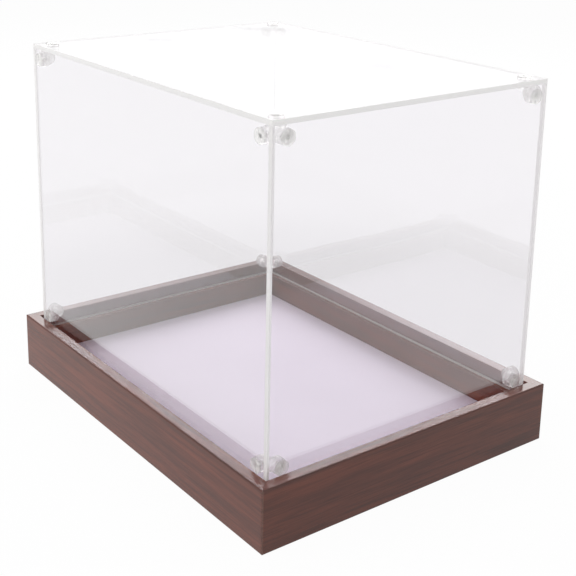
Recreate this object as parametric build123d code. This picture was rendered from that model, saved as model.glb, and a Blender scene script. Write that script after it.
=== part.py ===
from build123d import *
import os

# Trophy display case: a mitred wood tray with a lift-off cover of clear sheets.
# Millimetres. X runs along the long side, Y along the short side, Z up.
# The origin is on the surface that the case stands on, under its centre.

# Tray frame
base_length = 341.0
base_width = 262.0
base_height = 45.5
rail_thickness = 18.0
corner_round = 1.5
top_edge_round = 1.2
inner_edge_round = 0.6
foot_edge_round = 0.8

# Ledge that the cover stands on, and the rim around it
rim_width = 9.2
ledge_drop = 10.0

# Floor of the tray
floor_underside = 12.0
board_thickness = 3.0
lining_thickness = 1.0
groove_depth = 5.0
board_side_gap = 0.3
lining_side_gap = 0.3

# Keys glued across the mitres
key_thickness = 3.0
key_width = 10.0
key_height = 28.0
key_foot = 1.0
key_setback = 7.4
key_clearance = 0.1

# Corner blocks under the floor and the screws that hold them
block_size = 20.0
block_foot = 0.5
frame_screw_radius = 1.5
frame_screw_length = 30.0
frame_screw_head_radius = 2.6
frame_screw_head_height = 1.6
frame_screw_head_chamfer = 0.5
low_frame_screw_height = 3.4
high_frame_screw_height = 8.6
frame_screw_clearance = 0.1
frame_screw_tip_room = 0.5

# Clear cover
sheet_thickness = 3.0
cover_gap = 2.0
cover_height = 242.0
seat_gap = 0.1

# Film of air between clear pieces that are screwed together
air_gap = 0.08

# Corner connectors: how far a boss starts and ends from where the screws' lines cross
boss_radius = 5.6
boss_start = 3.5
boss_reach = 8.3
core_radius = 4.8
core_shift = 3.2
foot_connector_lift = 14.0

# Screws of the cover
screw_radius = 1.5
screw_depth = 3.6
screw_tip_room = 0.4
screw_clearance = 0.15
head_radius = 5.3
head_height = 1.6
head_edge_height = 1.2
slot_width = 0.9
slot_depth = 0.6
slot_length = 6.4

# Places that follow from the sizes above
ledge_height = base_height - ledge_drop
board_top = floor_underside + board_thickness
well_length = base_length - 2 * rail_thickness
well_width = base_width - 2 * rail_thickness
cover_length = base_length - 2 * (rim_width + cover_gap)
cover_width = base_width - 2 * (rim_width + cover_gap)
cover_foot = ledge_height + seat_gap
cover_top = cover_foot + cover_height
top_underside = cover_top - sheet_thickness
side_height = top_underside - air_gap - cover_foot
boss_x = cover_length / 2 - sheet_thickness - boss_reach
boss_y = cover_width / 2 - sheet_thickness - boss_reach
foot_boss_height = cover_foot + foot_connector_lift
head_boss_height = top_underside - boss_reach

corners = {
    "front_left": (-1, -1),
    "front_right": (1, -1),
    "back_left": (-1, 1),
    "back_right": (1, 1),
}
levels = {
    "foot": (foot_boss_height, 0),
    "head": (head_boss_height, 1),
}


def save(name, shape, color):
    """Write one piece to its own file."""
    shape.label = name
    shape.color = Color(*color)
    export_step(shape, os.path.join("parts", name + ".step"))


def group(solids):
    """Several separate solids that share one name."""
    return Compound(children=list(solids))


def rod(start, direction, radius, length):
    """A round bar or hole that starts at a point and runs in a direction."""
    return extrude(Plane(start, z_dir=direction) * Circle(radius), length)


def rail_section():
    """Cross-section of a rail: Y runs inwards from its outer face, Z up."""
    inside = rail_thickness
    groove_end = rail_thickness - groove_depth
    outline = make_face(Plane.YZ * Polyline(
        (0, 0),
        (inside, 0),
        (inside, floor_underside),
        (groove_end, floor_underside),
        (groove_end, board_top),
        (inside, board_top),
        (inside, ledge_height),
        (rim_width, ledge_height),
        (rim_width, base_height),
        (0, base_height),
        close=True,
    ))
    rounded = [
        ((0, 0, 0), foot_edge_round),
        ((0, inside, 0), foot_edge_round),
        ((0, inside, ledge_height), inner_edge_round),
        ((0, rim_width, base_height), inner_edge_round),
        ((0, 0, base_height), top_edge_round),
    ]
    for place, radius in rounded:
        outline = fillet(outline.vertices().sort_by_distance(place)[0], radius)
    return outline


def key_box(x, y, turn, clearance):
    """The key across one mitre, or its slot when it is grown by a clearance."""
    height = key_height + 2 * clearance
    box = Box(
        key_thickness + 2 * clearance,
        key_width + 2 * clearance,
        height,
        align=(Align.CENTER, Align.CENTER, Align.MIN),
    )
    return Pos(x, y, key_foot - clearance) * Rot(0, 0, turn) * box


def key_at(side_x, side_y, clearance=0.0):
    """The key of one corner of the tray."""
    x = side_x * (base_length / 2 - key_setback)
    y = side_y * (base_width / 2 - key_setback)
    return key_box(x, y, 45 * side_x * side_y, clearance)


def frame_screw_lines():
    """Where each frame screw enters its corner block, and which way it points."""
    lines = []
    inner_x = well_length / 2 - block_size
    inner_y = well_width / 2 - block_size
    for side_x, side_y in corners.values():
        middle_x = side_x * (inner_x + block_size / 2)
        middle_y = side_y * (inner_y + block_size / 2)
        low = (side_x * inner_x, middle_y, low_frame_screw_height)
        high = (middle_x, side_y * inner_y, high_frame_screw_height)
        lines.append((Vector(*low), Vector(side_x, 0, 0)))
        lines.append((Vector(*high), Vector(0, side_y, 0)))
    return lines


def frame_screw(start, direction):
    """A wood screw whose head seats on a corner block."""
    shank = rod(start, direction, frame_screw_radius, frame_screw_length)
    head = rod(start, direction * -1, frame_screw_head_radius, frame_screw_head_height)
    outer_face = head.faces().sort_by_distance(start - direction * frame_screw_head_height)[0]
    head = chamfer(outer_face.edges(), frame_screw_head_chamfer)
    return shank + head


def frame_screw_holes():
    """Pilot holes of all the frame screws, through the blocks and into the rails."""
    radius = frame_screw_radius + frame_screw_clearance
    length = frame_screw_length + frame_screw_tip_room
    return [rod(start, way, radius, length) for start, way in frame_screw_lines()]


def rail(length, turn, offset_x, offset_y):
    """One mitred rail, turned and moved to its side of the tray."""
    bar = extrude(rail_section(), length / 2, both=True)
    mitre = make_face(Polyline(
        (-length / 2, 0),
        (length / 2, 0),
        (length / 2 - rail_thickness, rail_thickness),
        (-length / 2 + rail_thickness, rail_thickness),
        close=True,
    ))
    bar = bar & extrude(mitre, base_height)
    bar = Pos(offset_x, offset_y, 0) * Rot(0, 0, turn) * bar
    bar = bar & extrude(RectangleRounded(base_length, base_width, corner_round), base_height)
    for side_x, side_y in corners.values():
        bar = bar - key_at(side_x, side_y, key_clearance)
    for hole in frame_screw_holes():
        bar = bar - hole
    return bar


def corner_block(side_x, side_y):
    """A block glued into the corner under the floor board."""
    height = floor_underside - block_foot
    block = Box(block_size, block_size, height, align=(Align.CENTER, Align.CENTER, Align.MIN))
    x = side_x * (well_length - block_size) / 2
    y = side_y * (well_width - block_size) / 2
    block = Pos(x, y, block_foot) * block
    for hole in frame_screw_holes():
        block = block - hole
    return block


def floor_board():
    """The board whose edges sit in the grooves of the rails."""
    length = well_length + 2 * (groove_depth - board_side_gap)
    width = well_width + 2 * (groove_depth - board_side_gap)
    board = Box(length, width, board_thickness, align=(Align.CENTER, Align.CENTER, Align.MIN))
    return Pos(0, 0, floor_underside) * board


def floor_lining():
    """The pale sheet that covers the floor board between the rails."""
    length = well_length - 2 * lining_side_gap
    width = well_width - 2 * lining_side_gap
    sheet = Box(length, width, lining_thickness, align=(Align.CENTER, Align.CENTER, Align.MIN))
    return Pos(0, 0, board_top) * sheet


def cover_screw_lines(side_x, side_y, height, side_z):
    """Where the heads at one corner seat on the sheets, and which way they face."""
    x = side_x * boss_x
    y = side_y * boss_y
    seat_x = side_x * (cover_length / 2 + air_gap)
    seat_y = side_y * (cover_width / 2 + air_gap)
    lines = [
        (Vector(seat_x, y, height), Vector(side_x, 0, 0)),
        (Vector(x, seat_y, height), Vector(0, side_y, 0)),
    ]
    if side_z:
        lines.append((Vector(x, y, cover_top + air_gap), Vector(0, 0, 1)))
    return lines


def all_cover_screw_lines():
    """The lines of every screw of the cover."""
    lines = []
    for side_x, side_y in corners.values():
        for height, side_z in levels.values():
            lines.extend(cover_screw_lines(side_x, side_y, height, side_z))
    return lines


def cover_screw(seat, outwards):
    """A flat domed screw, slotted, whose shank runs through a sheet into a boss."""
    length = sheet_thickness + 2 * air_gap + screw_depth
    shank = Pos(0, 0, -length) * Cylinder(
        screw_radius,
        length,
        align=(Align.CENTER, Align.CENTER, Align.MIN),
    )
    outline = Polyline((0, head_height), (0, 0), (head_radius, 0), (head_radius, head_edge_height))
    dome = TangentArc((0, head_height), (head_radius, head_edge_height), tangent=(1, 0))
    head = revolve(Plane.XZ * make_face(outline + dome), Axis.Z)
    slot = Pos(0, 0, head_height) * Box(slot_length, slot_width, 2 * slot_depth)
    return Plane(seat, z_dir=outwards) * (shank + head - slot)


def sheet(length, width, height, x, y, z):
    """A clear sheet with its screw holes."""
    panel = Pos(x, y, z) * Box(length, width, height, align=(Align.CENTER, Align.CENTER, Align.MIN))
    radius = screw_radius + screw_clearance
    for seat, outwards in all_cover_screw_lines():
        panel = panel - rod(seat, outwards * -1, radius, sheet_thickness + screw_depth)
    return panel


def connector(side_x, side_y, height, side_z):
    """A clear core in the corner, with a boss and blind hole for each sheet that it holds."""
    centre = Vector(side_x * boss_x, side_y * boss_y, height)
    ways = [Vector(side_x, 0, 0), Vector(0, side_y, 0)]
    if side_z:
        ways.append(Vector(0, 0, 1))
    into_case = -side_y * (90 + 45 * side_x)
    middle = centre + Vector(side_x, side_y, side_z) * core_shift
    body = Pos(*middle) * Rot(0, 0, into_case) * Sphere(core_radius)
    reach = boss_reach - air_gap
    for way in ways:
        body = body + rod(centre + way * boss_start, way, boss_radius, reach - boss_start)
    for way in ways:
        mouth = centre + way * reach
        body = body - rod(mouth, way * -1, screw_radius + screw_clearance, screw_depth + screw_tip_room)
    return body


def make_tray():
    """Rails, keys, blocks, frame screws, floor board and lining."""
    wood = (0.25, 0.12, 0.10)
    half_length = base_length / 2
    half_width = base_width / 2
    save("rail_front", rail(base_length, 0, 0, -half_width), wood)
    save("rail_back", rail(base_length, 180, 0, half_width), wood)
    save("rail_left", rail(base_width, -90, -half_length, 0), wood)
    save("rail_right", rail(base_width, 90, half_length, 0), wood)
    for name, (side_x, side_y) in corners.items():
        save("mitre_key_" + name, key_at(side_x, side_y), (0.78, 0.66, 0.46))
        save("corner_block_" + name, corner_block(side_x, side_y), (0.74, 0.62, 0.44))
    screws = [frame_screw(start, way) for start, way in frame_screw_lines()]
    save("frame_screws", group(screws), (0.62, 0.60, 0.55))
    save("floor_board", floor_board(), (0.60, 0.48, 0.34))
    save("floor_lining", floor_lining(), (0.84, 0.80, 0.90))


def make_cover():
    """Clear sheets, corner connectors and their screws."""
    clear = (0.88, 0.92, 0.92, 0.35)
    side_x = (cover_length - sheet_thickness) / 2
    side_y = (cover_width - sheet_thickness) / 2
    front_length = cover_length - 2 * (sheet_thickness + air_gap)
    thick = sheet_thickness
    save("panel_front", sheet(front_length, thick, side_height, 0, -side_y, cover_foot), clear)
    save("panel_back", sheet(front_length, thick, side_height, 0, side_y, cover_foot), clear)
    save("panel_left", sheet(thick, cover_width, side_height, -side_x, 0, cover_foot), clear)
    save("panel_right", sheet(thick, cover_width, side_height, side_x, 0, cover_foot), clear)
    save("panel_top", sheet(cover_length, cover_width, thick, 0, 0, top_underside), clear)
    for corner, (turn_x, turn_y) in corners.items():
        for level, (height, turn_z) in levels.items():
            name = level + "_" + corner
            save("connector_" + name, connector(turn_x, turn_y, height, turn_z), clear)
            lines = cover_screw_lines(turn_x, turn_y, height, turn_z)
            save("screws_" + name, group(cover_screw(seat, way) for seat, way in lines), clear)


os.makedirs("parts", exist_ok=True)
make_tray()
make_cover()
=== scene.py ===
"""Dresses the trophy display case: a rosewood-look tray and its clear lift-off cover, on a pale floor."""

import math

import bmesh
import bpy
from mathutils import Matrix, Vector


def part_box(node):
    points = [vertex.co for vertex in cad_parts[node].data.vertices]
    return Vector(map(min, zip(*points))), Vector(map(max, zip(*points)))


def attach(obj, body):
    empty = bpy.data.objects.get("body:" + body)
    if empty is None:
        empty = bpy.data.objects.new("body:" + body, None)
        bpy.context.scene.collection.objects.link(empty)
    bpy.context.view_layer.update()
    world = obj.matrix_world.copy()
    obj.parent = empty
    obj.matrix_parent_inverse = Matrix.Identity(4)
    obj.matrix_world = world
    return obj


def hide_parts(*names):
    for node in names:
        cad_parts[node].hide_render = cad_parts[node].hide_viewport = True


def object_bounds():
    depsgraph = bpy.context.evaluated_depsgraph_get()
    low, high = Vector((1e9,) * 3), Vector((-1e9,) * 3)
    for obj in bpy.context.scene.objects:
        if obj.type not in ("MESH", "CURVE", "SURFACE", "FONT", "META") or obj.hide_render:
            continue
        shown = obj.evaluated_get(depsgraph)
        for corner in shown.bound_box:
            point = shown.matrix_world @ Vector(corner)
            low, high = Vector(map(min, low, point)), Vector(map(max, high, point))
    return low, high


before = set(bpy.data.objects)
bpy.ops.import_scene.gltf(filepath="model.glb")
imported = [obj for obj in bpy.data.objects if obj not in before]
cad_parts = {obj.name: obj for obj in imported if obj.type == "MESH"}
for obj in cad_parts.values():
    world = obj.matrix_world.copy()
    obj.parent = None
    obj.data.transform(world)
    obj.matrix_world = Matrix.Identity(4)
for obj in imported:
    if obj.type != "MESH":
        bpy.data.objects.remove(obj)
cad_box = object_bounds()

bl_info = {
    "name": "Trophy display case",
    "version": (1, 0, 0),
    "blender": (4, 5, 0),
    "location": "3D View > Sidebar > Case",
    "description": "Finishes for a display case with a wood-look tray and a clear lift-off cover",
    "category": "Object",
}

MM = 0.001
CORNERS = ("front_left", "front_right", "back_left", "back_right")
LEVELS = ("foot", "head")

# How much of the gloss coat each sheet carries
COAT_SHARES = {
    "panel_front": 1.0,
    "panel_back": 0.3,
    "panel_left": 0.2,
    "panel_right": 1.0,
    "panel_top": 0.0,
}
ACRYLIC_INDEX = 1.49

# A side of a box that is shorter than this is a sheet's thickness
THIN = 5 * MM
# Width of the pale band round each cut edge: partly the sawn arris's own pale colour, partly painted
# highlight
ARRIS_AND_HIGHLIGHT_WIDTH = 0.35 * MM
# Height of the band along the foot of each side sheet that is shaded like a cut edge, as a painted
# highlight
FOOT_HIGHLIGHT_HEIGHT = 0.6 * MM

# Distances from an edge of the tray at which the painted shade along the outer top edge and the painted
# highlight on the upright corners begin and are full
TOP_EDGE_SHADE = (1.2 * MM, 0.6 * MM)
UPRIGHT_HIGHLIGHT = (1.5 * MM, 0.7 * MM)
HAIRLINE = 0.1 * MM

SCREW_ROWS = 26
SCREW_TURNS = 48
BLOCK_SLOT_WIDTH = 0.7 * MM
BLOCK_SLOT_DEPTH = 0.6 * MM

FLOOR_REACH = 15.0

# Distances from the middle of the case between which the floor's painted shade fades
PAINTED_SHADE_REACH = (330 * MM, 560 * MM)
LAMP_TARGET = Vector((0, 0, 0.1))

# Name, width and height, and place of each lamp
LAMPS = (
    ("key", (1.4, 1.4), (-0.5, -1.8, 1.0)),
    ("fill", (1.2, 1.2), (1.8, 0.4, 1.2)),
    ("top", (1.6, 1.6), (0.3, -0.3, 2.2)),
    ("back", (1.7, 0.9), (-1.23, 0.95, 1.14)),
)


# Wires and materials


def find_socket(sockets, key=None):
    """A socket by its place or by its name, or else the first one in use."""
    if isinstance(key, int):
        return sockets[key]
    return next(s for s in sockets if s.enabled and key in (None, s.name))


def add_node(tree, kind, settings, sockets, output):
    """Adds a node with its settings and its sockets' values or links, and gives one output's socket."""
    made = tree.nodes.new(kind)
    for name, value in (settings or {}).items():
        setattr(made, name, value)
    for key, value in (sockets or {}).items():
        socket = find_socket(made.inputs, key)
        source = getattr(value, "socket", value)
        if isinstance(source, bpy.types.NodeSocket):
            tree.links.new(source, socket)
        else:
            socket.default_value = source
    return find_socket(made.outputs, output) if made.outputs else None


class Wire:
    """One output of a node. Arithmetic on it adds the Math nodes that work it out."""

    def __init__(self, finish, socket):
        self.finish = finish
        self.socket = socket

    def _math(self, operation, first, second):
        return self.finish.node("ShaderNodeMath", {"operation": operation}, {0: first, 1: second})

    def __add__(self, other):
        return self._math("ADD", self, other)

    def __radd__(self, other):
        return self._math("ADD", other, self)

    def __sub__(self, other):
        return self._math("SUBTRACT", self, other)

    def __rsub__(self, other):
        return self._math("SUBTRACT", other, self)

    def __mul__(self, other):
        return self._math("MULTIPLY", self, other)

    def __lt__(self, other):
        return self._math("LESS_THAN", self, other)

    def __gt__(self, other):
        return self._math("GREATER_THAN", self, other)

    def __abs__(self):
        return self._math("ABSOLUTE", self, 0.0)

    def at_most(self, other):
        """The smaller of the two."""
        return self._math("MINIMUM", self, other)

    def at_least(self, other):
        """The larger of the two."""
        return self._math("MAXIMUM", self, other)


class Finish:
    """A material under construction."""

    def __init__(self, name, data=None):
        self.data = data or bpy.data.materials.new(name)
        self.data.use_nodes = True
        self.tree = self.data.node_tree
        self.tree.nodes.clear()

    def node(self, kind, settings=None, sockets=None, output=None):
        """Adds a node and gives a wire from one output."""
        return Wire(self, add_node(self.tree, kind, settings, sockets, output))

    def ramp(self, factor, stops):
        """A colour that runs through stops of (place, colour) as the factor goes from 0 to 1."""
        wire = self.node("ShaderNodeValToRGB", None, {"Fac": factor})
        points = wire.socket.node.color_ramp.elements
        while len(points) < len(stops):
            points.new(1.0)
        for point, (place, colour) in zip(points, stops):
            point.position = place
            point.color = (*colour, 1.0)
        return wire

    def spread(self, factor, low, high):
        """The factor stretched so that low gives 0 and high gives 1."""
        sockets = {"Value": factor, "From Min": low, "From Max": high}
        return self.node("ShaderNodeMapRange", {"interpolation_type": "SMOOTHSTEP"}, sockets)

    def blend(self, factor, first, second):
        """Two colours mixed by a factor."""
        sockets = {"Factor": factor, "A": first, "B": second}
        return self.node("ShaderNodeMix", {"data_type": "RGBA"}, sockets)

    def point(self):
        """Object coordinates."""
        return self.node("ShaderNodeTexCoord", None, None, "Object")

    def axes(self):
        """Object coordinates as three wires."""
        split = self.node("ShaderNodeSeparateXYZ", None, {0: self.point()}).socket.node
        return [Wire(self, socket) for socket in split.outputs]

    def place(self, scale, offset=(0, 0, 0), turn=0.0):
        """Object coordinates, moved, turned about Z and then stretched."""
        turned = self.node("ShaderNodeMapping", None, {
            "Vector": self.point(), "Location": offset, "Rotation": (0, 0, turn),
        })
        return self.node("ShaderNodeVectorMath", {"operation": "MULTIPLY"}, {0: turned, 1: scale})

    def noise(self, point, detail=3.0, roughness=0.55, distortion=0.0):
        """Soft noise in the range 0 to 1."""
        return self.node("ShaderNodeTexNoise", None, {
            "Vector": point, "Scale": 1.0, "Detail": detail,
            "Roughness": roughness, "Distortion": distortion,
        }, "Fac")

    def bump(self, height, strength, distance):
        """A normal from a height."""
        return self.node("ShaderNodeBump", None, {
            "Height": height, "Strength": strength, "Distance": distance,
        })

    def surface(self, shader):
        """Ends the material with this shader."""
        ends = "World" if isinstance(self.data, bpy.types.World) else "Material"
        self.node("ShaderNodeOutput" + ends, None, {"Surface": shader})
        return self.data

    def principled(self, sockets):
        """A Principled shader with these sockets set."""
        return self.node("ShaderNodeBsdfPrincipled", None, sockets)

    def ray(self, *kinds):
        """1 for a ray of any of these kinds, otherwise 0."""
        wires = [self.node("ShaderNodeLightPath", None, None, f"Is {kind} Ray") for kind in kinds]
        found = wires[0]
        for wire in wires[1:]:
            found = found.at_least(wire)
        return found


def grained_foil(name, settings, turn, offset):
    """Printed rosewood foil: broad reddish and greyish bands, thin dark streaks and pores, with painted
    shade along the outer top edge and a painted highlight on the upright corners.
    """
    finish = Finish(name)

    def streaks(along, across, detail, distortion=0.0):
        """Noise drawn out along the rail."""
        lengthways = 1 / (along * settings.streak_length)
        crossways = 1 / (across * settings.streak_width)
        stretch = (lengthways, crossways, crossways)
        return finish.noise(finish.place(stretch, offset, turn), detail, 0.6, distortion)

    bands = streaks(1.0, 3.2, 2.0, 0.5)
    threads = streaks(0.5, 0.55, 3.0, 0.25)
    pores = streaks(0.12, 0.22, 1.0)
    tone = finish.spread(bands * 0.45 + threads * 0.55, 0.34, 0.66)
    colour = finish.ramp(tone, [
        (0.0, settings.dark_tone), (0.5, settings.middle_tone), (1.0, settings.red_tone),
    ])
    thread = finish.spread(threads, 0.54, 0.74)
    pore = finish.spread(pores, 0.66, 0.74)
    deep = (*(0.55 * c for c in settings.dark_tone), 1.0)
    colour = finish.blend(thread * 0.4 + pore * 0.3, colour, deep)
    top, upright, seam = rail_edges(finish)
    # Painted shade: a dark line along the outer top edge of the rails, varied by the bands
    colour = finish.blend(top * (0.25 + bands * 0.4), colour, deep)
    # Painted highlight: a pale strip on the upright corners of the rails
    colour = finish.blend(upright * (0.1 + threads * 0.4), colour, (*settings.corner_highlight_tone, 1.0))
    colour = finish.blend(seam, colour, deep)
    shader = finish.principled({
        "Base Color": colour,
        "Roughness": settings.foil_roughness + bands * 0.06 + upright * 0.15,
        "Normal": finish.bump(threads * 0.5 - pore * 0.5 - seam, 0.01, 0.1 * MM),
        "Specular IOR Level": settings.foil_shine,
    })
    return finish.surface(shader)


def rail_edges(finish):
    """1 on the outer top edge (painted shade), on the upright corners (painted highlight) and on the
    hairline between rails, otherwise 0.
    """
    x, y, z = finish.axes()
    high = cad_box[1]
    rail_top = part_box("rail_front")[1].z
    from_end = high.x - abs(x)
    from_side = high.y - abs(y)
    from_top = rail_top - z
    top = finish.spread(from_end.at_most(from_side) + from_top, *TOP_EDGE_SHADE)
    upright = finish.spread(from_end + from_side, *UPRIGHT_HIGHLIGHT)
    seam = (abs(from_end - from_side) < HAIRLINE) * (from_end > TOP_EDGE_SHADE[0])
    return top, upright, seam


def bare_wood(name, colour, grain_width, contrast):
    """Sawn pale wood or raw fibreboard for the pieces that don't show from above."""
    finish = Finish(name)
    point = finish.place((12.0, 1 / grain_width, 1 / grain_width))
    grain = finish.noise(point, 4.0, 0.6, 0.4)
    dust = finish.noise(finish.place((900, 900, 900)), 2.0, 0.7)
    dark = tuple(c * (1 - contrast) for c in colour)
    tone = finish.spread(grain * 0.7 + dust * 0.3, 0.35, 0.65)
    shader = finish.principled({
        "Base Color": finish.ramp(tone, [(0.0, dark), (1.0, colour)]),
        "Roughness": 0.72 + dust * 0.15,
        "Normal": finish.bump(dust, 0.3, 0.2 * MM),
    })
    return finish.surface(shader)


def lining_sheet(name, settings):
    """The lavender floor lining: a smooth satin sheet with a faint fibre and soft unevenness."""
    finish = Finish(name)
    clouds = finish.noise(finish.place((14, 14, 14)), 3.0, 0.5)
    fibre = finish.noise(finish.place((1400, 1400, 1400)), 2.0, 0.6)
    tone = finish.spread(clouds * 0.75 + fibre * 0.25, 0.3, 0.7)
    deep = tuple(c * 0.96 for c in settings.lining_tone)
    shader = finish.principled({
        "Base Color": finish.ramp(tone, [(0.0, deep), (1.0, settings.lining_tone)]),
        "Roughness": 0.5 + fibre * 0.12,
        "Normal": finish.bump(fibre, 0.12, 0.05 * MM),
    })
    return finish.surface(shader)


def clear_sheet(name, node, settings):
    """Clear acrylic sheet whose sawn edges are pale and satin; the same pale shading paints highlights
    along the arrises and along the foot of a side sheet.
    """
    finish = Finish(name)
    smudge = finish.spread(finish.noise(finish.place((45, 45, 45)), 4.0, 0.6), 0.55, 0.8)
    waves = finish.noise(finish.place((9, 9, 9)), 1.0, 0.5)
    glass = finish.principled({
        "Base Color": (*settings.sheet_tint, 1.0),
        "Roughness": smudge * 0.006,
        "IOR": ACRYLIC_INDEX,
        "Transmission Weight": 1.0,
        "Coat Weight": COAT_SHARES[node] * settings.sheet_coat,
        "Coat Roughness": 0.04,
        "Normal": finish.bump(waves, settings.sheet_waves, 1.0 * MM),
    })
    saw = finish.noise(finish.place((700, 700, 700)), 2.0, 0.6)
    pale = tuple(0.93 * c for c in settings.edge_tone)
    cut = finish.principled({
        "Base Color": finish.ramp(saw, [(0.3, pale), (0.7, tuple(settings.edge_tone))]),
        "Roughness": 0.3 + saw * 0.2,
        "Normal": finish.bump(saw, 0.1, 0.05 * MM),
        "IOR": ACRYLIC_INDEX,
    })
    glow = finish.node("ShaderNodeBsdfTranslucent", None, {"Color": (*settings.edge_tone, 1.0)})
    cut = finish.node("ShaderNodeMixShader", None, {0: 0.5, 1: cut, 2: glow})
    body = finish.node("ShaderNodeMixShader", None, {0: cut_edges_and_painted_highlights(finish, node), 1: glass, 2: cut})
    return lamps_pass(finish, body, settings.sheet_tint)


def cut_edges_and_painted_highlights(finish, node):
    """1 on a sheet's narrow faces, on the sawn arris round them (partly painted highlight) and on a
    painted highlight along a side's foot, otherwise 0.
    """
    low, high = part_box(node)
    size = high - low
    axes = finish.axes()
    nearest = None
    for axis in range(3):
        if size[axis] < THIN:
            continue
        middle = (low[axis] + high[axis]) / 2
        inward = size[axis] / 2 - abs(axes[axis] - middle)
        nearest = inward if nearest is None else nearest.at_most(inward)
    # Painted highlight: a band along the foot of each side sheet is shaded like a cut edge
    if size.z > THIN:
        nearest = nearest.at_most(axes[2] - (low.z + FOOT_HIGHLIGHT_HEIGHT))
    return nearest < ARRIS_AND_HIGHLIGHT_WIDTH


def lamps_pass(finish, shader, tint, plain=0.0):
    """Ends a clear material that has this shader.

    Light from the lamps and off dull surfaces goes straight through it, as does a plain share of the rest.
    """
    straight = finish.node("ShaderNodeBsdfTransparent", None, {"Color": (*tint, 1.0)})
    factor = finish.ray("Shadow", "Diffuse").at_least(plain)
    return finish.surface(finish.node("ShaderNodeMixShader", None, {0: factor, 1: shader, 2: straight}))


def moulded_plastic(name, settings, tint, size):
    """Clear moulded plastic, a little cloudy, with flow marks of this size and finer ripples."""
    finish = Finish(name)
    flow = finish.noise(finish.place((1 / size, 1 / size, 0.3 / size)), 2.0, 0.5)
    ripple = finish.noise(finish.place((3 / size, 3 / size, 3 / size)), 2.0, 0.5)
    cloudy = tuple(0.94 * c for c in tint)
    shader = finish.principled({
        "Base Color": finish.ramp(flow, [(0.3, cloudy), (0.7, tuple(tint))]),
        "Roughness": settings.plastic_roughness + flow * 0.05,
        "IOR": settings.plastic_bend,
        "Transmission Weight": settings.plastic_clarity,
        "Normal": finish.bump(ripple, 0.5, 0.25 * MM),
    })
    return lamps_pass(finish, shader, tint, settings.plastic_plain)


def plated_steel(name):
    """Zinc plate on the screws under the floor."""
    finish = Finish(name)
    patches = finish.noise(finish.place((300, 300, 300)), 3.0)
    shader = finish.principled({
        "Base Color": finish.ramp(patches, [(0.3, (0.45, 0.42, 0.34)), (0.7, (0.66, 0.64, 0.58))]),
        "Metallic": 1.0,
        "Roughness": 0.28 + patches * 0.2,
    })
    return finish.surface(shader)


def shown_white(finish, shader, glow, share, clear, shine):
    """The shader, turned white for the eye, and partly for mirrors and through clear sheets."""
    seen = finish.ray("Camera") * share
    through = finish.ray("Transmission") * clear
    mirrored = finish.ray("Glossy") * shine
    factor = seen.at_least(through).at_least(mirrored)
    return finish.node("ShaderNodeMixShader", None, {0: factor, 1: shader, 2: glow})


def pale_floor(name, settings):
    """White paper that keeps the case's shadow, with painted shade that makes it a little greyer near the
    case where clear pieces show it.
    """
    finish = Finish(name)
    fibre = finish.noise(finish.place((220, 220, 220)), 3.0, 0.6)
    paper = finish.principled({
        "Base Color": finish.ramp(fibre, [(0.0, (0.9, 0.9, 0.9)), (1.0, (0.93, 0.93, 0.93))]),
        "Roughness": 0.9,
        "Specular IOR Level": 0.0,
    })
    away = finish.node("ShaderNodeVectorMath", {"operation": "LENGTH"}, {0: finish.point()}, "Value")
    # Painted shade: the white that clear pieces show is greyer near the case
    near = 1.0 - finish.spread(away, *PAINTED_SHADE_REACH)
    painted_shade = near * finish.ray("Transmission") * settings.floor_painted_shade
    glow = finish.node("ShaderNodeEmission", None, {"Color": 1.0 - painted_shade, "Strength": 1.0})
    return finish.surface(shown_white(
        finish, paper, glow, settings.floor_whiteness, settings.floor_through, settings.floor_shine))


def pale_room(settings):
    """A white room for the eye and a soft grey one for the light that it gives."""
    world = bpy.data.worlds.new("pale_room")
    finish = Finish("pale_room", world)
    white = finish.ray("Camera", "Transmission")
    mirrored = finish.ray("Glossy") * settings.room_shine
    strength = white.at_least(mirrored).at_least(settings.room_light)
    sockets = {"Color": (1, 1, 1, 1), "Strength": strength}
    return finish.surface(finish.node("ShaderNodeBackground", None, sockets))


# Pieces


def paint(node, material):
    """Gives a carried-over piece its material."""
    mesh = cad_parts[node].data
    mesh.materials.clear()
    mesh.materials.append(material)


def new_piece(name, mesh, body):
    """A new object that rides on a body."""
    piece = bpy.data.objects.new(name, mesh)
    bpy.context.scene.collection.objects.link(piece)
    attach(piece, body)
    return piece


def flattened(piece):
    """The piece's mesh with its modifiers worked in."""
    graph = bpy.context.evaluated_depsgraph_get()
    return bpy.data.meshes.new_from_object(piece.evaluated_get(graph))


def seats_of_cover_screws(cover):
    """Where the screws of the cover seat on its sheets, and the way that each faces."""
    radius, height = cover.head_radius, cover.head_height
    seats = []
    for corner in CORNERS:
        side_x = 1 if corner.endswith("right") else -1
        side_y = 1 if corner.startswith("back") else -1
        for level in LEVELS:
            low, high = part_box(f"screws_{level}_{corner}")
            x = low.x + radius if side_x > 0 else high.x - radius
            y = low.y + radius if side_y > 0 else high.y - radius
            z = low.z + radius
            outer_x = high.x - height if side_x > 0 else low.x + height
            outer_y = high.y - height if side_y > 0 else low.y + height
            seats.append(((outer_x, y, z), (side_x, 0, 0)))
            seats.append(((x, outer_y, z), (0, side_y, 0)))
            if level == "head":
                seats.append(((x, y, high.z - height), (0, 0, 1)))
    return seats


def seats_of_block_screws():
    """Where the screws under the floor seat on the corner blocks, and the way that each head faces."""
    tray = bpy.context.scene.case_tray
    seats = []
    for corner in CORNERS:
        low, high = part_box(f"corner_block_{corner}")
        middle = (low + high) / 2
        side_x = math.copysign(1, middle.x)
        side_y = math.copysign(1, middle.y)
        inner_x = low.x if side_x > 0 else high.x
        inner_y = low.y if side_y > 0 else high.y
        seats.append(((inner_x, middle.y, tray.low_screw_height), (-side_x, 0, 0)))
        seats.append(((middle.x, inner_y, tray.high_screw_height), (0, -side_y, 0)))
    return seats


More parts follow.
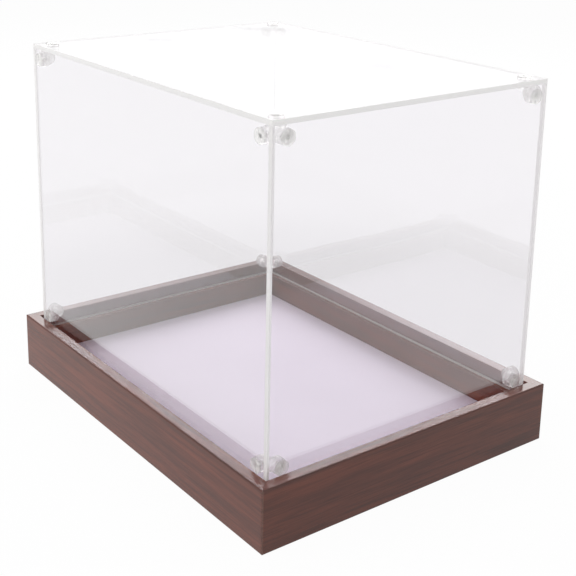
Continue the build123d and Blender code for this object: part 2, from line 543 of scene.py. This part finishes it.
class Tree:
    """A Geometry Nodes tree under construction."""

    def __init__(self, name, inputs):
        self.tree = bpy.data.node_groups.new(name, "GeometryNodeTree")
        self.names = {}
        face = self.tree.interface
        face.new_socket("Geometry", in_out="INPUT", socket_type="NodeSocketGeometry")
        for title, kind in inputs.items():
            self.names[title] = face.new_socket(title, in_out="INPUT", socket_type=kind).identifier
        face.new_socket("Geometry", in_out="OUTPUT", socket_type="NodeSocketGeometry")
        self.entry = self.tree.nodes.new("NodeGroupInput")

    def given(self, title):
        """One of the tree's own inputs."""
        return self.entry.outputs[title]

    def node(self, kind, settings=None, sockets=None, output=None):
        """Adds a node and gives one output."""
        return add_node(self.tree, kind, settings, sockets, output)

    def math(self, operation, first, second=0.0):
        """One sum on two values."""
        return self.node("ShaderNodeMath", {"operation": operation}, {0: first, 1: second})

    def turned(self, radius, height, rows, turns):
        """A surface of revolution about Z from a radius and a height for each row of a grid."""
        grid = self.tree.nodes.new("GeometryNodeMeshGrid")
        grid.inputs["Vertices X"].default_value = turns + 1
        grid.inputs["Vertices Y"].default_value = rows
        index = self.node("GeometryNodeInputIndex")
        column = self.math("FLOOR", self.math("DIVIDE", index, float(rows)))
        angle = self.math("MULTIPLY", column, 2 * math.pi / turns)
        place = self.node("ShaderNodeCombineXYZ", None, {
            "X": self.math("MULTIPLY", radius, self.math("COSINE", angle)),
            "Y": self.math("MULTIPLY", radius, self.math("SINE", angle)),
            "Z": height,
        })
        shell = self.node("GeometryNodeSetPosition", None, {
            "Geometry": grid.outputs["Mesh"], "Position": place,
        })
        return self.node("GeometryNodeMergeByDistance", None, {"Geometry": shell, "Distance": 1e-6})

    def end(self, geometry, material):
        """Realizes the copies, gives them their material and ends the tree."""
        real = self.node("GeometryNodeRealizeInstances", None, {"Geometry": geometry})
        made = self.node("GeometryNodeSetMaterial", None, {"Geometry": real, "Material": material})
        self.node("NodeGroupOutput", None, {"Geometry": made})
        return self.tree


def screw_tree():
    """Slotted domed screws on points, each turned to face the way that its point says."""
    sizes = ("Shank Radius", "Shank Length", "Head Radius", "Head Height", "Edge Height",
             "Slot Width", "Slot Length", "Slot Depth")
    inputs = {title: "NodeSocketFloat" for title in sizes}
    inputs["Material"] = "NodeSocketMaterial"
    tree = Tree("domed_screws", inputs)
    row = tree.math("MODULO", tree.node("GeometryNodeInputIndex"), float(SCREW_ROWS))
    share = tree.math("DIVIDE", row, SCREW_ROWS - 1.0)
    shank, length = tree.given("Shank Radius"), tree.given("Shank Length")
    head, top, edge = tree.given("Head Radius"), tree.given("Head Height"), tree.given("Edge Height")

    def pick(stops, values):
        """A value that runs in straight lines from stop to stop as the share goes from 0 to 1."""
        result = values[0]
        for start, end, first, last in zip(stops, stops[1:], values, values[1:]):
            step = tree.node("ShaderNodeMapRange", None, {
                "Value": share, "From Min": start, "From Max": end, "To Min": 0.0, "To Max": 1.0,
            })
            gap = tree.math("SUBTRACT", last, first)
            result = tree.math("ADD", result, tree.math("MULTIPLY", step, gap))
        return result

    tip = tree.math("MULTIPLY", length, -1.0)
    bevel = tree.math("ADD", tip, tree.math("MULTIPLY", shank, 0.35))
    stops = [k / (SCREW_ROWS - 1.0) for k in range(7)]
    point, rim = tree.math("MULTIPLY", shank, 0.7), tree.math("MULTIPLY", head, 0.96)
    lower_radius = pick(stops, [0.0, point, shank, shank, rim, head, head])
    lower_height = pick(stops, [tip, tip, bevel, 0.0, 0.0, tree.math("MULTIPLY", edge, 0.2), edge])
    dome = tree.node("ShaderNodeMapRange", None, {
        "Value": share, "From Min": stops[-1], "From Max": 1.0,
    })
    swing = tree.math("MULTIPLY", dome, math.pi / 2)
    rise = tree.math("MULTIPLY", tree.math("SUBTRACT", top, edge), tree.math("SINE", swing))
    radius = tree.math("MULTIPLY", lower_radius, tree.math("COSINE", swing))
    height = tree.math("ADD", lower_height, rise)
    screw = tree.turned(radius, height, SCREW_ROWS, SCREW_TURNS)
    screw = tree.node("GeometryNodeSetShadeSmooth", None, {"Geometry": screw})
    bar = tree.node("GeometryNodeMeshCube", None, {"Size": tree.node("ShaderNodeCombineXYZ", None, {
        "X": tree.given("Slot Length"),
        "Y": tree.given("Slot Width"),
        "Z": tree.math("MULTIPLY", tree.given("Slot Depth"), 2.0),
    })})
    bar = tree.node("GeometryNodeTransform", None, {
        "Geometry": bar, "Translation": tree.node("ShaderNodeCombineXYZ", None, {"Z": top}),
    })
    slotted = tree.tree.nodes.new("GeometryNodeMeshBoolean")
    slotted.operation = "DIFFERENCE"
    tree.tree.links.new(screw, slotted.inputs["Mesh 1"])
    tree.tree.links.new(bar, slotted.inputs["Mesh 2"])
    facing = tree.node("GeometryNodeInputNamedAttribute", {"data_type": "FLOAT_VECTOR"}, {
        "Name": "facing",
    })
    turn = tree.node("FunctionNodeAlignRotationToVector", {"axis": "Z"}, {"Vector": facing})
    spin = tree.node("FunctionNodeRandomValue", None, {"Min": 0.0, "Max": math.pi, "Seed": 7}, "Value")
    twist = tree.node("FunctionNodeAxisAngleToRotation", None, {"Axis": (0, 0, 1), "Angle": spin})
    turn = tree.node("FunctionNodeRotateRotation", {"rotation_space": "LOCAL"}, {
        "Rotation": turn, "Rotate By": twist,
    })
    copies = tree.node("GeometryNodeInstanceOnPoints", None, {
        "Points": tree.given("Geometry"), "Instance": slotted.outputs["Mesh"], "Rotation": turn,
    })
    return tree.end(copies, tree.given("Material")), tree.names


def screws_on(name, seats, sizes, material, body):
    """Grows a set of screws on their seats and leaves them as one plain mesh."""
    base = bpy.data.meshes.new(name + "_seats")
    base.from_pydata([seat for seat, _ in seats], [], [])
    facing = base.attributes.new("facing", "FLOAT_VECTOR", "POINT")
    facing.data.foreach_set("vector", [value for _, way in seats for value in way])
    holder = bpy.data.objects.new(name + "_seats", base)
    bpy.context.scene.collection.objects.link(holder)
    tree, names = screw_tree()
    grower = holder.modifiers.new("screws", "NODES")
    grower.node_group = tree
    for title, value in sizes.items():
        grower[names[title]] = value
    grower[names["Material"]] = material
    mesh = flattened(holder)
    holder.modifiers.remove(grower)
    bpy.data.objects.remove(holder)
    mesh.name = name
    if "facing" in mesh.attributes:
        mesh.attributes.remove(mesh.attributes["facing"])
    return new_piece(name, mesh, body)


def moulded_copy(name, node, voxel, rounds, material):
    """A copy of a carried-over piece with the soft edges of a moulding."""
    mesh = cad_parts[node].data.copy()
    mesh.materials.clear()
    shape = bmesh.new()
    shape.from_mesh(mesh)
    bmesh.ops.remove_doubles(shape, verts=shape.verts, dist=1e-6)
    shape.to_mesh(mesh)
    shape.free()
    holder = bpy.data.objects.new(name + "_blank", mesh)
    bpy.context.scene.collection.objects.link(holder)
    remesh = holder.modifiers.new("blank", "REMESH")
    remesh.mode = "VOXEL"
    remesh.voxel_size = voxel
    smooth = holder.modifiers.new("soften", "SMOOTH")
    smooth.factor = 0.5
    smooth.iterations = rounds
    soft = flattened(holder)
    bpy.data.objects.remove(holder)
    soft.name = name
    soft.materials.clear()
    soft.materials.append(material)
    soft.shade_smooth()
    return soft


# Settings


def length(title, words, default):
    """A size in metres."""
    return bpy.props.FloatProperty(
        name=title, description=words, default=default, unit="LENGTH", precision=5)


def tone(title, words, default):
    """A colour."""
    return bpy.props.FloatVectorProperty(
        name=title, description=words, default=default, size=3, subtype="COLOR", min=0.0, max=1.0)


def share(title, words, default):
    """A share of one."""
    return bpy.props.FloatProperty(
        name=title, description=words, default=default, subtype="FACTOR", min=0, max=1)


def number(title, words, default):
    """A plain number."""
    return bpy.props.FloatProperty(name=title, description=words, default=default)


class CaseTraySettings(bpy.types.PropertyGroup):
    """Finishes of the tray."""

    streak_length: length("Streak length", "Length of a band in the printed grain", 90.0 * MM)
    streak_width: length("Streak width", "Width of a streak in the printed grain", 1.7 * MM)
    dark_tone: tone("Dark grain", "Darkest bands of the foil", (0.085, 0.027, 0.019))
    middle_tone: tone("Middle grain", "Ground colour of the foil", (0.130, 0.038, 0.0245))
    red_tone: tone("Red grain", "Reddest bands of the foil", (0.180, 0.051, 0.031))
    # Painted highlight on the upright corners of the foil
    corner_highlight_tone: tone("Painted corner highlight", "Colour of the foil where it wraps an upright corner", (0.22, 0.18, 0.16))
    foil_roughness: share("Foil roughness", "Roughness of the printed foil", 0.12)
    foil_shine: share("Foil shine", "Strength of the foil's gloss", 0.34)
    lining_tone: tone("Lining", "Colour of the floor lining", (0.76, 0.69, 0.79))
    low_screw_height: length("Low screw", "Height of the lower screws under the floor", 3.4 * MM)
    high_screw_height: length("High screw", "Height of the upper screws under the floor", 8.6 * MM)
    block_screw_radius: length("Block screw radius", "Radius of the screws under the floor", 1.5 * MM)
    block_screw_length: length("Block screw length", "Length of the screws under the floor", 30.0 * MM)
    block_head_radius: length("Block screw head", "Radius of those screws' heads", 2.6 * MM)
    block_head_height: length("Block screw head height", "Height of those screws' heads", 1.6 * MM)


class CaseCoverSettings(bpy.types.PropertyGroup):
    """Finishes and small sizes of the cover."""

    sheet_tint: tone("Sheet tint", "Light that a sheet lets through", (0.95, 0.94, 0.955))
    sheet_coat: share("Sheet coat", "Strength of the hard gloss coat on the sheets", 0.8)
    sheet_waves: share("Sheet waves", "How uneven the sheets are", 0.4)
    edge_tone: tone("Sheet edge", "Colour of a sheet's cut edges", (0.81, 0.81, 0.79))
    connector_tint: tone("Connector tint", "Light that a connector lets through", (1.0, 1.0, 0.99))
    screw_tint: tone("Screw tint", "Light that a screw of the cover lets through", (0.97, 0.97, 0.96))
    plastic_clarity: share("Plastic clarity", "How clear the connectors and screws are", 0.6)
    plastic_plain: share("Plastic plainness", "Share of the light that they don't bend at all", 0.4)
    plastic_roughness: share("Plastic roughness", "Roughness of the connectors and screws", 0.03)
    plastic_bend: number("Plastic bend", "How far they bend light", 1.3)
    head_radius: length("Screw head radius", "Radius of the cover's screw heads", 5.3 * MM)
    head_height: length("Screw head height", "Height of the cover's screw heads", 1.6 * MM)
    head_edge: length("Screw head edge", "Height of the head's straight edge", 1.2 * MM)
    shank_radius: length("Screw radius", "Radius of the cover's screws", 1.5 * MM)
    shank_length: length("Screw length", "Length of the cover's screws under the head", 6.76 * MM)
    slot_width: length("Slot width", "Width of the slot in a head", 0.9 * MM)
    slot_length: length("Slot length", "Length of the slot in a head", 6.4 * MM)
    slot_depth: length("Slot depth", "Depth of the slot in a head", 0.6 * MM)
    moulding_step: length("Moulding step", "Fineness of the connectors' soft edges", 0.25 * MM)


class CaseStageSettings(bpy.types.PropertyGroup):
    """Camera, lamps and background."""

    camera_place: bpy.props.FloatVectorProperty(
        name="Camera place", description="Where the camera stands", size=3, subtype="XYZ",
        default=(0.6782, -0.5076, 0.4287), precision=5)
    camera_turn: bpy.props.FloatVectorProperty(
        name="Camera turn", description="How the camera is turned", size=3, subtype="EULER",
        default=tuple(math.radians(a) for a in (74.5817, -0.9303, 53.4143)), precision=5)
    lens: number("Lens", "Focal length in millimetres", 71.8)
    shift: bpy.props.FloatVectorProperty(
        name="Shift", description="Sideways and upward shift of the lens", size=2,
        default=(0.0258, -0.2107), precision=5)
    floor_whiteness: share("Floor whiteness", "How far the floor is white whatever falls on it", 0.97)
    floor_through: share("Floor through clear", "How far the floor is white through the cover", 0.8)
    # Painted shade on the floor near the case, seen through the clear pieces
    floor_painted_shade: share("Floor dusk", "How much greyer that white is near the case", 0.1)
    floor_shine: share("Floor shine", "How white the floor is in reflections", 1.0)
    room_shine: number("Room shine", "How bright the room is in reflections", 1.22)
    room_light: share("Room light", "How much light the room gives", 0.38)
    key_strength: number("Key", "Strength of the large lamp, in watts", 21.0)
    fill_strength: number("Fill", "Strength of the small lamp, in watts", 3.2)
    top_strength: number("Top", "Strength of the top lamp, in watts", 4.5)
    back_strength: number("Back", "Strength of the back lamp, in watts", 20.0)


# Operators


class CASE_OT_rails(bpy.types.Operator):
    """Lay the printed foil on the four rails, with the grain along each"""

    bl_idname = "case.rails"
    bl_label = "Rails"

    def execute(self, context):
        settings = context.scene.case_tray
        quarter = math.pi / 2
        lays = {
            "rail_front": (0.0, (0.31, 0.02, 0.0)),
            "rail_back": (0.0, (1.37, 0.43, 0.1)),
            "rail_left": (quarter, (2.11, 0.87, 0.3)),
            "rail_right": (quarter, (3.49, 1.13, 0.5)),
        }
        for node, (turn, offset) in lays.items():
            paint(node, grained_foil("foil_" + node, settings, turn, offset))
        return {"FINISHED"}


class CASE_OT_floor(bpy.types.Operator):
    """Finish the floor board and its lavender lining"""

    bl_idname = "case.floor"
    bl_label = "Floor"

    def execute(self, context):
        paint("floor_lining", lining_sheet("lavender_lining", context.scene.case_tray))
        paint("floor_board", bare_wood("raw_fibreboard", (0.36, 0.25, 0.15), 0.9 * MM, 0.25))
        return {"FINISHED"}


class CASE_OT_blocks(bpy.types.Operator):
    """Finish the corner blocks and the keys across the mitres"""

    bl_idname = "case.blocks"
    bl_label = "Blocks and keys"

    def execute(self, context):
        wood = bare_wood("sawn_wood", (0.60, 0.44, 0.27), 1.6 * MM, 0.35)
        for corner in CORNERS:
            paint("corner_block_" + corner, wood)
            paint("mitre_key_" + corner, wood)
        return {"FINISHED"}


class CASE_OT_block_screws(bpy.types.Operator):
    """Drive the plated screws through the corner blocks"""

    bl_idname = "case.block_screws"
    bl_label = "Block screws"

    def execute(self, context):
        tray = context.scene.case_tray
        sizes = {
            "Shank Radius": tray.block_screw_radius,
            "Shank Length": tray.block_screw_length,
            "Head Radius": tray.block_head_radius,
            "Head Height": tray.block_head_height,
            "Edge Height": 0.35 * tray.block_head_height,
            "Slot Width": BLOCK_SLOT_WIDTH,
            "Slot Length": 1.6 * tray.block_head_radius,
            "Slot Depth": BLOCK_SLOT_DEPTH,
        }
        steel = plated_steel("plated_steel")
        piece = screws_on("block_screws", seats_of_block_screws(), sizes, steel, "tray")
        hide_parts("frame_screws")
        return {"FINISHED"}


class CASE_OT_sheets(bpy.types.Operator):
    """Finish the five clear sheets of the cover"""

    bl_idname = "case.sheets"
    bl_label = "Clear sheets"

    def execute(self, context):
        for node in COAT_SHARES:
            paint(node, clear_sheet("clear_" + node, node, context.scene.case_cover))
        return {"FINISHED"}


class CASE_OT_connectors(bpy.types.Operator):
    """Mould the eight clear corner connectors"""

    bl_idname = "case.connectors"
    bl_label = "Connectors"

    def execute(self, context):
        cover = context.scene.case_cover
        clear = moulded_plastic("connector_plastic", cover, cover.connector_tint, 5 * MM)
        for corner in CORNERS:
            for level in LEVELS:
                node = f"connector_{level}_{corner}"
                mesh = moulded_copy("moulded_" + node, node, cover.moulding_step, 4, clear)
                piece = new_piece("moulded_" + node, mesh, "cover")
                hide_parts(node)
        return {"FINISHED"}


class CASE_OT_cover_screws(bpy.types.Operator):
    """Drive the clear domed screws through the sheets into the connectors"""

    bl_idname = "case.cover_screws"
    bl_label = "Cover screws"

    def execute(self, context):
        cover = context.scene.case_cover
        sizes = {
            "Shank Radius": cover.shank_radius,
            "Shank Length": cover.shank_length,
            "Head Radius": cover.head_radius,
            "Head Height": cover.head_height,
            "Edge Height": cover.head_edge,
            "Slot Width": cover.slot_width,
            "Slot Length": cover.slot_length,
            "Slot Depth": cover.slot_depth,
        }
        clear = moulded_plastic("screw_plastic", cover, cover.screw_tint, 3 * MM)
        seats = seats_of_cover_screws(cover)
        piece = screws_on("cover_screws", seats, sizes, clear, "cover")
        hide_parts(*(f"screws_{level}_{corner}" for level in LEVELS for corner in CORNERS))
        return {"FINISHED"}


class CASE_OT_stage(bpy.types.Operator):
    """Set out the floor, the room, the lamps and the camera"""

    bl_idname = "case.stage"
    bl_label = "Stage"

    def execute(self, context):
        stage = context.scene.case_stage
        lay_floor(stage)
        context.scene.world = pale_room(stage)
        for name, size, place in LAMPS:
            aim_lamp(name, getattr(stage, name + "_strength"), size, Vector(place))
        set_camera(stage)
        context.scene.view_settings.view_transform = "Standard"
        context.scene.cycles.transparent_max_bounces = 32
        context.scene.cycles.transmission_bounces = 24
        context.scene.cycles.max_bounces = 24
        return {"FINISHED"}


def lay_floor(stage):
    """A large plain floor under the case."""
    mesh = bpy.data.meshes.new("floor")
    corners = [(FLOOR_REACH * x, FLOOR_REACH * y, 0) for x, y in ((-1, -1), (1, -1), (1, 1), (-1, 1))]
    mesh.from_pydata(corners, [], [(0, 1, 2, 3)])
    mesh.materials.append(pale_floor("pale_floor", stage))
    floor = bpy.data.objects.new("floor", mesh)
    bpy.context.scene.collection.objects.link(floor)


def aim_lamp(name, strength, size, place):
    """A soft lamp that faces the case."""
    lamp = bpy.data.lights.new(name, "AREA")
    lamp.energy = strength
    lamp.shape = "RECTANGLE"
    lamp.size, lamp.size_y = size
    holder = bpy.data.objects.new(name, lamp)
    holder.location = place
    holder.rotation_euler = (LAMP_TARGET - place).to_track_quat("-Z", "Y").to_euler()
    bpy.context.scene.collection.objects.link(holder)


def set_camera(stage):
    """The camera at the photograph's angle."""
    data = bpy.data.cameras.new("camera")
    data.lens = stage.lens
    data.shift_x, data.shift_y = stage.shift
    camera = bpy.data.objects.new("camera", data)
    camera.location = stage.camera_place
    camera.rotation_euler = stage.camera_turn
    bpy.context.scene.collection.objects.link(camera)
    bpy.context.scene.camera = camera


class CASE_PT_panel(bpy.types.Panel):
    """The case's steps and settings"""

    bl_idname = "CASE_PT_panel"
    bl_label = "Display case"
    bl_space_type = "VIEW_3D"
    bl_region_type = "UI"
    bl_category = "Case"

    def draw(self, context):
        for operator in STEPS:
            self.layout.operator(operator.bl_idname)
        for group in (context.scene.case_tray, context.scene.case_cover, context.scene.case_stage):
            box = self.layout.box()
            for name in group.bl_rna.properties.keys():
                if name not in ("rna_type", "name"):
                    box.prop(group, name)


STEPS = (
    CASE_OT_rails,
    CASE_OT_floor,
    CASE_OT_blocks,
    CASE_OT_block_screws,
    CASE_OT_sheets,
    CASE_OT_connectors,
    CASE_OT_cover_screws,
    CASE_OT_stage,
)
SETTINGS = {
    "case_tray": CaseTraySettings,
    "case_cover": CaseCoverSettings,
    "case_stage": CaseStageSettings,
}


def register():
    """Adds the classes and their settings to Blender."""
    for name, group in SETTINGS.items():
        bpy.utils.register_class(group)
        setattr(bpy.types.Scene, name, bpy.props.PointerProperty(type=group))
    for made in (*STEPS, CASE_PT_panel):
        bpy.utils.register_class(made)


def unregister():
    """Takes them out again."""
    for made in reversed((*STEPS, CASE_PT_panel)):
        bpy.utils.unregister_class(made)
    for name, group in SETTINGS.items():
        delattr(bpy.types.Scene, name)
        bpy.utils.unregister_class(group)


def main():
    """Dresses the case step by step."""
    register()
    for step in STEPS:
        space, name = step.bl_idname.split(".")
        getattr(getattr(bpy.ops, space), name)()


if __name__ == "__main__":
    main()
